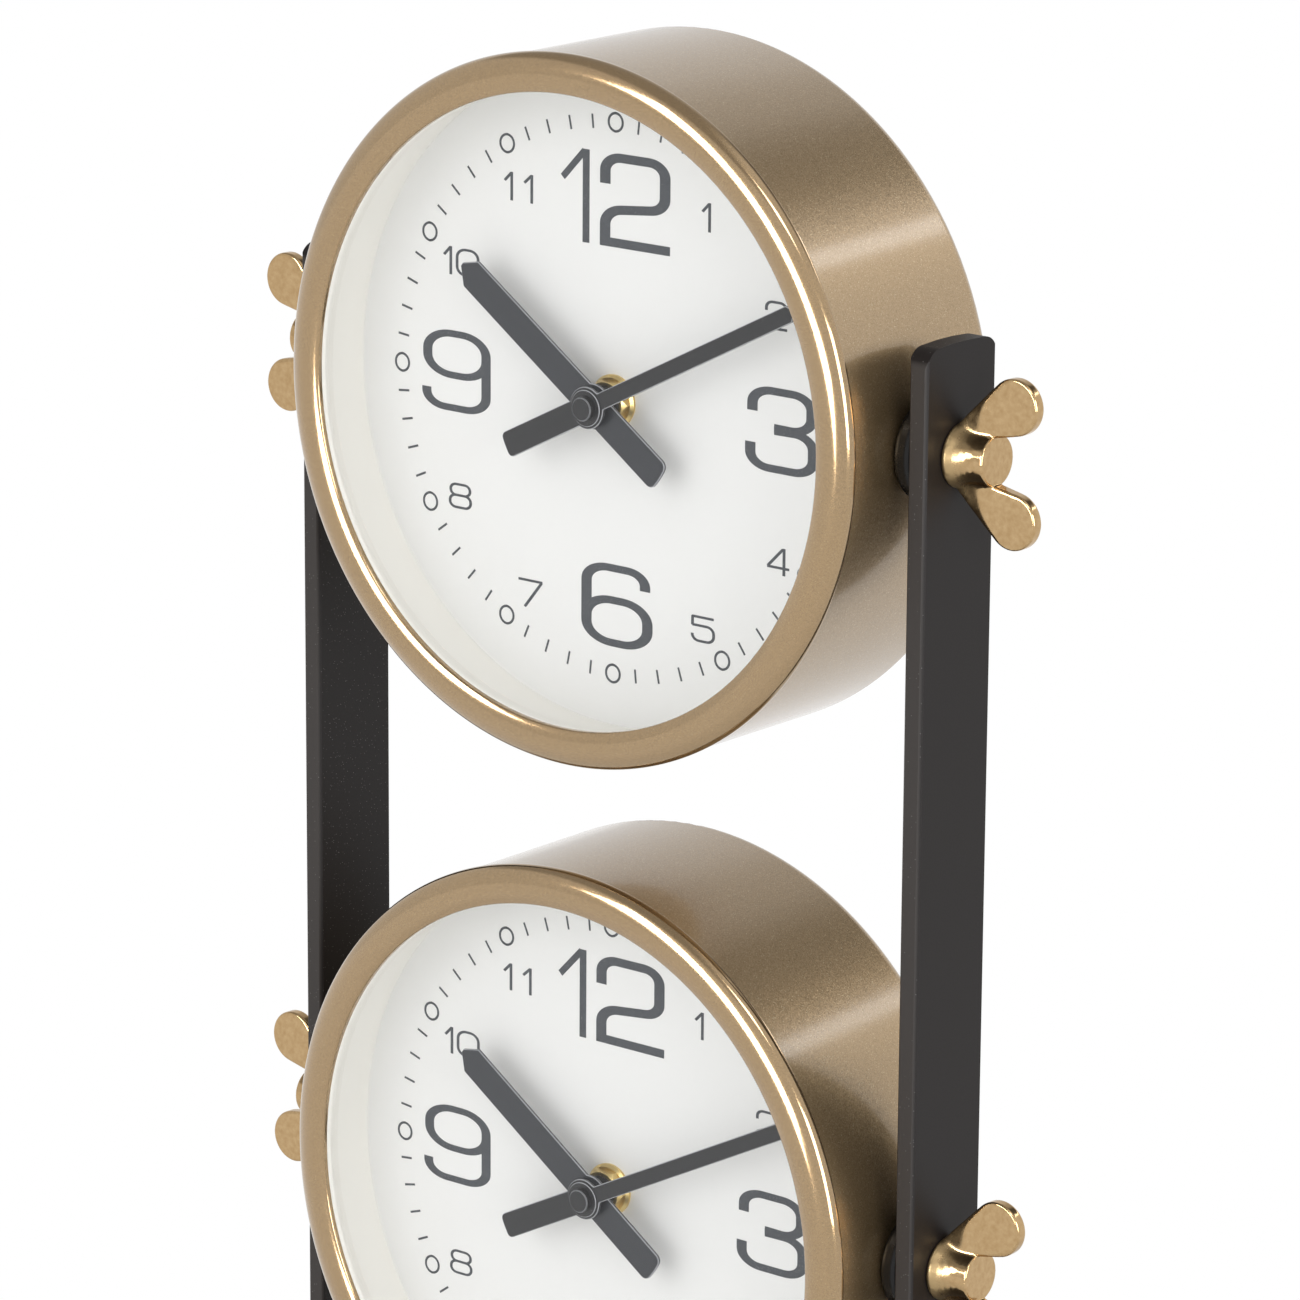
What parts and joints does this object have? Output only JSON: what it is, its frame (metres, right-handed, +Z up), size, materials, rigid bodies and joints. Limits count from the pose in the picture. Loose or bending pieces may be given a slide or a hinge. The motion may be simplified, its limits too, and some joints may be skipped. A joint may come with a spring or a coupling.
{
  "type": "floor clock",
  "caption": "Standing world-time clock: round drum heads stacked between upright flat bars, each tilting on pivot bolts clamped by wing nuts.",
  "frame": {"origin": "middle of the underside of the base, on the surface the clock stands on", "axes": "+X to the right seen from the dials' side, +Y from the dials to the back, +Z up; 12 o'clock is up"},
  "size_m": [0.2228, 0.13, 0.5626],
  "materials": {
    "gold_paint": "satin metallic gold paint on drawn steel sheet",
    "bezel_gold": "glossy metallic gold lacquer",
    "clear_glass": "clear and flat",
    "cream_plastic": "smooth matt moulding",
    "dial_print": "matt white board with dark grey print",
    "turned_brass": "turned and bright",
    "hand_black": "satin charcoal lacquer on stamped sheet",
    "nut_black": "satin black",
    "movement_plastic": "moulded, fine texture",
    "cell_jacket": "plain printed jacket with bare steel ends",
    "gear_plastic": "natural acetal",
    "arbor_steel": "turned",
    "knob_plastic": "moulded, fluted",
    "bolt_zinc": "zinc plated",
    "cast_brass": "cast, tumbled and polished",
    "black_powder_coat": "satin black powder coat, finely speckled",
    "grey_felt": "pressed felt",
    "screw_steel": "blackened",
    "black_rubber": "moulded, smooth"
  },
  "bodies": {
    "frame": {"base_plate": "black_powder_coat", "base_felt": "grey_felt", "base_screws": "screw_steel", "upright_left": "black_powder_coat", "upright_right": "black_powder_coat", "pivot_spacers": "black_rubber"},
    "head_upper": {"case_upper": "gold_paint", "bezel_upper": "bezel_gold", "glass_upper": "clear_glass", "dial_ring_upper": "cream_plastic", "dial_upper": "dial_print", "clamp_nut_upper": "turned_brass", "movement_case_upper": "movement_plastic", "battery_upper": "cell_jacket", "pivot_bolts_upper": "bolt_zinc"},
    "minute_work_upper": {"minute_hand_upper": "hand_black", "hand_nut_upper": "nut_black", "centre_wheel_upper": "arbor_steel"},
    "hour_work_upper": {"hour_hand_upper": "hand_black", "hour_wheel_upper": "gear_plastic"},
    "motion_work_upper": {"motion_wheel_upper": "gear_plastic"},
    "knob_upper": {"setting_knob_upper": "knob_plastic"},
    "nut_left_upper": {"wing_nut_left_upper": "cast_brass"},
    "nut_right_upper": {"wing_nut_right_upper": "cast_brass"},
    "head_middle": {"case_middle": "gold_paint", "bezel_middle": "bezel_gold", "glass_middle": "clear_glass", "dial_ring_middle": "cream_plastic", "dial_middle": "dial_print", "clamp_nut_middle": "turned_brass", "movement_case_middle": "movement_plastic", "battery_middle": "cell_jacket", "pivot_bolts_middle": "bolt_zinc"},
    "minute_work_middle": {"minute_hand_middle": "hand_black", "hand_nut_middle": "nut_black", "centre_wheel_middle": "arbor_steel"},
    "hour_work_middle": {"hour_hand_middle": "hand_black", "hour_wheel_middle": "gear_plastic"},
    "motion_work_middle": {"motion_wheel_middle": "gear_plastic"},
    "knob_middle": {"setting_knob_middle": "knob_plastic"},
    "nut_left_middle": {"wing_nut_left_middle": "cast_brass"},
    "nut_right_middle": {"wing_nut_right_middle": "cast_brass"},
    "head_lower": {"case_lower": "gold_paint", "bezel_lower": "bezel_gold", "glass_lower": "clear_glass", "dial_ring_lower": "cream_plastic", "dial_lower": "dial_print", "clamp_nut_lower": "turned_brass", "movement_case_lower": "movement_plastic", "battery_lower": "cell_jacket", "pivot_bolts_lower": "bolt_zinc"},
    "minute_work_lower": {"minute_hand_lower": "hand_black", "hand_nut_lower": "nut_black", "centre_wheel_lower": "arbor_steel"},
    "hour_work_lower": {"hour_hand_lower": "hand_black", "hour_wheel_lower": "gear_plastic"},
    "motion_work_lower": {"motion_wheel_lower": "gear_plastic"},
    "knob_lower": {"setting_knob_lower": "knob_plastic"},
    "nut_left_lower": {"wing_nut_left_lower": "cast_brass"},
    "nut_right_lower": {"wing_nut_right_lower": "cast_brass"}
  },
  "joints": [
    {"name": "tilt_upper", "type": "hinge", "parent": "frame", "child": "head_upper", "pos_m": [0, 0, 0.482], "axis": [1, 0, 0], "continuous": true},
    {"name": "minute_turn_upper", "type": "hinge", "parent": "head_upper", "child": "minute_work_upper", "pos_m": [0, 0, 0.482], "axis": [0, 1, 0], "continuous": true},
    {"name": "hour_turn_upper", "type": "hinge", "parent": "head_upper", "child": "hour_work_upper", "pos_m": [0, 0, 0.482], "axis": [0, 1, 0], "continuous": true},
    {"name": "motion_turn_upper", "type": "hinge", "parent": "head_upper", "child": "motion_work_upper", "pos_m": [-0.00328, 0, 0.49102], "axis": [0, 1, 0], "continuous": true},
    {"name": "knob_turn_upper", "type": "hinge", "parent": "head_upper", "child": "knob_upper", "pos_m": [0.00599, 0, 0.49351], "axis": [0, 1, 0], "continuous": true},
    {"name": "nut_left_turn_upper", "type": "hinge", "parent": "frame", "child": "nut_left_upper", "pos_m": [-0.0903, 0, 0.482], "axis": [-1, 0, 0], "range_deg": [0, 360]},
    {"name": "nut_right_turn_upper", "type": "hinge", "parent": "frame", "child": "nut_right_upper", "pos_m": [0.0903, 0, 0.482], "axis": [1, 0, 0], "range_deg": [0, 360]},
    {"name": "tilt_middle", "type": "hinge", "parent": "frame", "child": "head_middle", "pos_m": [0, 0, 0.296], "axis": [1, 0, 0], "continuous": true},
    {"name": "minute_turn_middle", "type": "hinge", "parent": "head_middle", "child": "minute_work_middle", "pos_m": [0, 0, 0.296], "axis": [0, 1, 0], "continuous": true},
    {"name": "hour_turn_middle", "type": "hinge", "parent": "head_middle", "child": "hour_work_middle", "pos_m": [0, 0, 0.296], "axis": [0, 1, 0], "continuous": true},
    {"name": "motion_turn_middle", "type": "hinge", "parent": "head_middle", "child": "motion_work_middle", "pos_m": [-0.00328, 0, 0.30502], "axis": [0, 1, 0], "continuous": true},
    {"name": "knob_turn_middle", "type": "hinge", "parent": "head_middle", "child": "knob_middle", "pos_m": [0.00599, 0, 0.30751], "axis": [0, 1, 0], "continuous": true},
    {"name": "nut_left_turn_middle", "type": "hinge", "parent": "frame", "child": "nut_left_middle", "pos_m": [-0.0903, 0, 0.296], "axis": [-1, 0, 0], "range_deg": [0, 360]},
    {"name": "nut_right_turn_middle", "type": "hinge", "parent": "frame", "child": "nut_right_middle", "pos_m": [0.0903, 0, 0.296], "axis": [1, 0, 0], "range_deg": [0, 360]},
    {"name": "tilt_lower", "type": "hinge", "parent": "frame", "child": "head_lower", "pos_m": [0, 0, 0.11], "axis": [1, 0, 0], "continuous": true},
    {"name": "minute_turn_lower", "type": "hinge", "parent": "head_lower", "child": "minute_work_lower", "pos_m": [0, 0, 0.11], "axis": [0, 1, 0], "continuous": true},
    {"name": "hour_turn_lower", "type": "hinge", "parent": "head_lower", "child": "hour_work_lower", "pos_m": [0, 0, 0.11], "axis": [0, 1, 0], "continuous": true},
    {"name": "motion_turn_lower", "type": "hinge", "parent": "head_lower", "child": "motion_work_lower", "pos_m": [-0.00328, 0, 0.11902], "axis": [0, 1, 0], "continuous": true},
    {"name": "knob_turn_lower", "type": "hinge", "parent": "head_lower", "child": "knob_lower", "pos_m": [0.00599, 0, 0.12151], "axis": [0, 1, 0], "continuous": true},
    {"name": "nut_left_turn_lower", "type": "hinge", "parent": "frame", "child": "nut_left_lower", "pos_m": [-0.0903, 0, 0.11], "axis": [-1, 0, 0], "range_deg": [0, 360]},
    {"name": "nut_right_turn_lower", "type": "hinge", "parent": "frame", "child": "nut_right_lower", "pos_m": [0.0903, 0, 0.11], "axis": [1, 0, 0], "range_deg": [0, 360]}
  ],
  "couplings": [
    {"joint": "hour_turn_upper", "follows": "minute_turn_upper", "ratio": 0.083333},
    {"joint": "motion_turn_upper", "follows": "minute_turn_upper", "ratio": -0.33333},
    {"joint": "knob_turn_upper", "follows": "minute_turn_upper", "ratio": 1},
    {"joint": "hour_turn_middle", "follows": "minute_turn_middle", "ratio": 0.083333},
    {"joint": "motion_turn_middle", "follows": "minute_turn_middle", "ratio": -0.33333},
    {"joint": "knob_turn_middle", "follows": "minute_turn_middle", "ratio": 1},
    {"joint": "hour_turn_lower", "follows": "minute_turn_lower", "ratio": 0.083333},
    {"joint": "motion_turn_lower", "follows": "minute_turn_lower", "ratio": -0.33333},
    {"joint": "knob_turn_lower", "follows": "minute_turn_lower", "ratio": 1}
  ]
}
